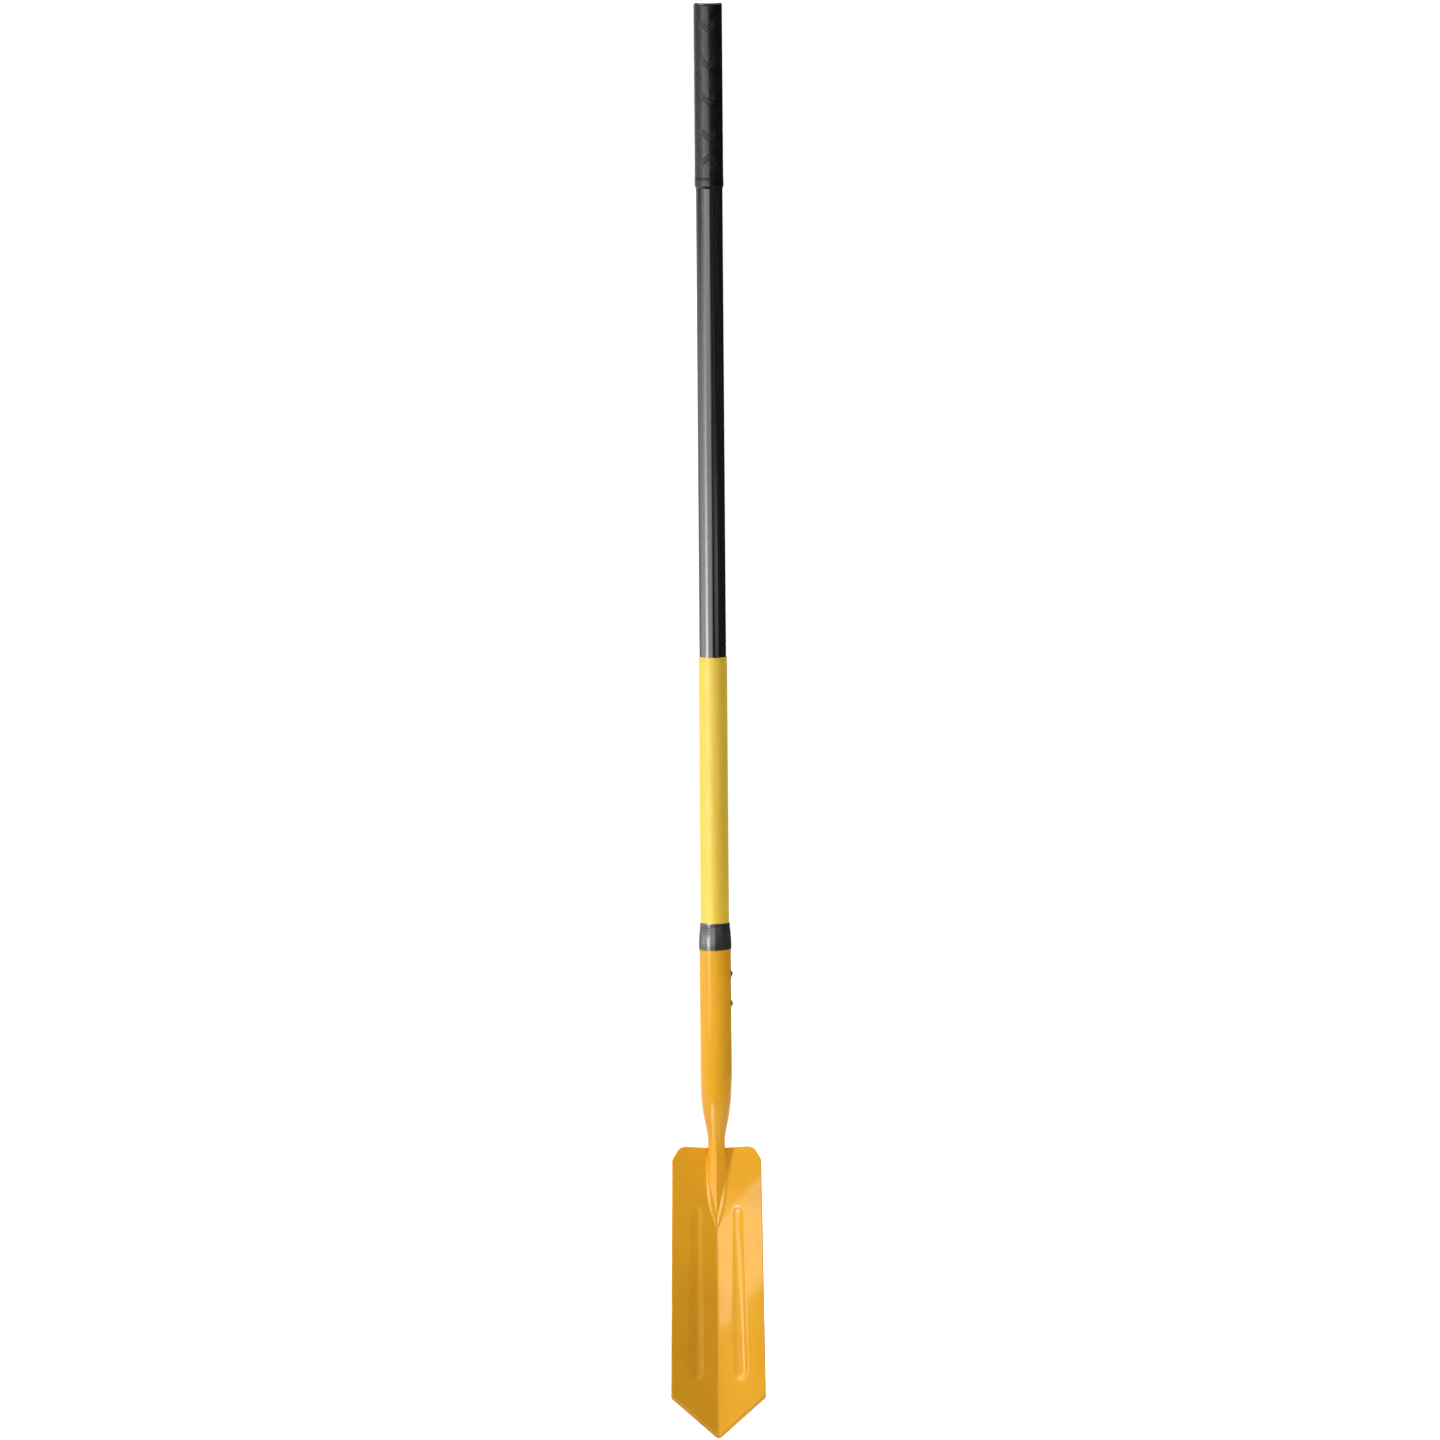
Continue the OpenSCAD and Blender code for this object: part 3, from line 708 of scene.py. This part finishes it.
def make_blade(material):
    """The blade: a flat half blank that is beaded, folded, mirrored, thickened and set up."""
    blade = cut_blank()
    press_bead(blade)
    fold_sheet(blade)
    thicken_and_grind(blade)

    # Stood up, tilted and set behind the neck
    bpy.ops.object.mode_set(mode="EDIT")
    turn_all(BLADE_LIFT - math.pi / 2.0, "X")
    bpy.ops.transform.translate(value=BLADE_PLACE)
    bpy.ops.object.mode_set(mode="OBJECT")
    bpy.ops.object.shade_smooth_by_angle(angle=SMOOTH_ANGLE)
    blade.vertex_groups.clear()
    blade.data.materials.append(material)
    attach(blade, "root")
    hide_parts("blade")


def dress(node, material):
    """Gives a CAD node its finish."""
    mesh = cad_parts[node].data
    mesh.materials.clear()
    mesh.materials.append(material)


def make_camera():
    """A long lens from the photograph's side, as wide as the whole picture at the spade."""
    data = bpy.data.cameras.new("camera")
    camera = bpy.data.objects.new("camera", data)
    bpy.context.scene.collection.objects.link(camera)
    camera.location = CAMERA_TARGET + CAMERA_DISTANCE * TO_CAMERA
    aim(camera, CAMERA_TARGET)
    turned = camera.rotation_euler.to_matrix() @ Matrix.Rotation(CAMERA_ROLL, 3, "Z")
    camera.rotation_euler = turned.to_euler()
    half_view = IMAGE_PX * METRES_PER_PX / 2.0
    data.sensor_fit = "HORIZONTAL"
    data.angle = 2.0 * math.atan(half_view / CAMERA_DISTANCE)
    data.clip_end = CAMERA_REACH
    bpy.context.scene.camera = camera


def make_floor():
    """A wide pale floor that looks white and keeps a trace of the spade's shadow."""
    bpy.ops.object.select_all(action="DESELECT")
    level = cad_box[0][2] - FLOOR_DROP
    bpy.ops.mesh.primitive_plane_add(size=FLOOR_SIZE, location=(0.0, 0.0, level))
    floor = bpy.context.object
    floor.name = "floor"
    material = bpy.data.materials.new("pale_floor")
    material.use_nodes = True
    material.node_tree.nodes.clear()
    w = Wiring(material.node_tree)
    matt = w.add("ShaderNodeBsdfDiffuse", Color=(FLOOR_SHADE, FLOOR_SHADE, FLOOR_SHADE, 1.0))
    strength = w.maths("MULTIPLY", w.seen_or_mirrored(), FLOOR_GLOW)
    glow = w.add("ShaderNodeEmission", Strength=strength)
    both = w.add("ShaderNodeAddShader")
    w.feed(both.inputs[0], matt.outputs["BSDF"])
    w.feed(both.inputs[1], glow.outputs["Emission"])
    end = w.add("ShaderNodeOutputMaterial", Surface=both.outputs["Shader"])
    end.is_active_output = True
    floor.data.materials.append(material)


def make_world():
    """White where it is seen or mirrored, dimmer where it lights."""
    world = bpy.data.worlds.new("white_room")
    bpy.context.scene.world = world
    world.use_nodes = True
    w = Wiring(world.node_tree)
    background = world.node_tree.nodes["Background"]
    strength = w.between(w.seen_or_mirrored(), at_0=AMBIENT, at_1=1.0)
    w.feed(background.inputs["Strength"], strength)
    background.inputs["Color"].default_value = (1.0, 1.0, 1.0, 1.0)


def aim(thing, target):
    """Turns a lamp, panel or camera to face a point."""
    thing.rotation_euler = (Vector(target) - thing.location).to_track_quat("-Z", "Y").to_euler()


def around(azimuth, distance, level):
    """A place around the spade: degrees right of the camera's side, then metres out and up."""
    turn = math.radians(azimuth)
    return Vector((distance * math.sin(turn), -distance * math.cos(turn), level))


def hang_lamp(light, place, target):
    """Hangs a lamp at a place, aimed at a point and unseen by the camera."""
    lamp = bpy.data.objects.new(light.name, light)
    bpy.context.scene.collection.objects.link(lamp)
    lamp.location = place
    aim(lamp, target)
    lamp.visible_camera = False
    return lamp


def add_softbox(name, place, target, width, height, power, matt=True, gloss=True):
    """A soft lamp; it may light only matt surfaces or only show in glossy ones."""
    light = bpy.data.lights.new(name, "AREA")
    light.shape = "RECTANGLE"
    light.size = width
    light.size_y = height
    light.energy = power
    lamp = hang_lamp(light, place, target)
    lamp.visible_diffuse = matt
    lamp.visible_glossy = gloss
    return lamp


def add_fill(name, azimuth, distance, level, width, height, power):
    """A soft lamp for matt light only, aimed at the middle of the spade."""
    place = around(azimuth, distance, level)
    add_softbox(name, place, MIDDLE, width, height, power, gloss=False)


def add_spot(name, azimuth, distance, level, target, power, cone, softness):
    """A spot with a soft-edged cone, for matt light only."""
    light = bpy.data.lights.new(name, "SPOT")
    light.energy = power
    light.spot_size = math.radians(cone)
    light.spot_blend = softness
    light.shadow_soft_size = SPOT_RADIUS
    lamp = hang_lamp(light, around(azimuth, distance, level), target)
    lamp.visible_glossy = False


def card_power(brightness, width, height):
    """The power that makes a card look as bright as asked, where 1 is white."""
    return brightness * math.pi * width * height


def add_card(name, azimuth, distance, spread, low, high, brightness):
    """A white card that only shows in glossy surfaces, upright and facing the spade."""
    level = (low + high) / 2.0
    width = 2.0 * distance * math.tan(math.radians(spread))
    height = high - low
    power = card_power(brightness, width, height)
    place = around(azimuth, distance, level)
    add_softbox(name, place, around(0.0, 0.0, level), width, height, power, matt=False)


def add_wing_card():
    """A narrow white card close to the blade, slanted, which its right wing mirrors."""
    # Up and across the right wing, and the way that the wing faces
    up = Vector((0.0, math.sin(BLADE_LIFT), math.cos(BLADE_LIFT)))
    across = Vector((math.cos(WING_ANGLE), 0.0, 0.0))
    across -= Vector((0.0, up.z, -up.y)) * math.sin(WING_ANGLE)
    facing = up.cross(across).normalized()
    if facing.y > 0.0:
        facing = -facing

    # Where the camera's view goes from the wing, and the card's own two directions
    mirrored = 2.0 * facing.dot(TO_CAMERA) * facing - TO_CAMERA
    slant = across + WING_CARD_RISE * up
    along = (slant - slant.dot(mirrored) * mirrored).normalized()
    upright = mirrored.cross(along).normalized()
    if upright.z < 0.0:
        upright = -upright

    width = WING_CARD_LENGTH
    height = WING_CARD_DROP * up.dot(upright)
    middle = NECK_TIP - WING_CARD_DROP / 2.0 * up + WING_CARD_DISTANCE * mirrored
    power = card_power(WING_CARD_BRIGHTNESS, width, height)
    card = add_softbox("wing_card", middle, middle - mirrored, width, height, power, matt=False)
    turned = Matrix((upright.cross(mirrored), upright, mirrored)).transposed()
    card.rotation_euler = turned.to_euler()


def make_flag_cloth():
    """Dull black cloth of the panels."""
    material, shader, _ = new_material("flag_cloth")
    shader.inputs["Base Color"].default_value = (FLAG_BLACK, FLAG_BLACK, FLAG_BLACK, 1.0)
    shader.inputs["Roughness"].default_value = 1.0
    shader.inputs["Specular IOR Level"].default_value = 0.0
    return material


def add_flag(cloth, name, azimuth, distance, level, width, height, faces_up):
    """A dark panel beside the spade, which shows only in glossy surfaces."""
    place = around(azimuth, distance, level)
    bpy.ops.object.select_all(action="DESELECT")
    bpy.ops.mesh.primitive_plane_add(size=1.0, location=place)
    flag = bpy.context.object
    flag.name = name
    flag.scale = (width, height, 1.0)
    aim(flag, place + Vector((0.0, 0.0, 1.0)) if faces_up else around(0.0, 0.0, level))
    flag.data.materials.append(cloth)
    flag.visible_camera = False
    flag.visible_diffuse = False
    flag.visible_shadow = False


enamel = make_enamel()
rivet_steel = make_rivet_steel()
FINISHES = {
    "shaft_tube": make_fibreglass(),
    "shaft_core": make_wood(),
    "butt_plug": make_plug_plastic(),
    "grip": make_rubber(),
    "sleeve": make_lemon_plastic(),
    "collar": make_collar_plastic(),
    "socket": enamel,
    "blade": enamel,
    "left_weld": enamel,
    "right_weld": enamel,
    "upper_rivet": rivet_steel,
    "lower_rivet": rivet_steel,
}
for node_name, finish in FINISHES.items():
    dress(node_name, finish)
make_blade(enamel)

make_camera()
make_floor()
make_world()
for fill in FILLS:
    add_fill(*fill)
for spot in SPOTS:
    add_spot(*spot)
add_softbox("overhead_key", OVERHEAD_PLACE, NECK, OVERHEAD_SIZE, OVERHEAD_SIZE, OVERHEAD_POWER)
for card in CARDS:
    add_card(*card)
add_wing_card()
flag_cloth = make_flag_cloth()
for flag in FLAGS:
    add_flag(flag_cloth, *flag)

bpy.context.scene.view_settings.view_transform = "Standard"
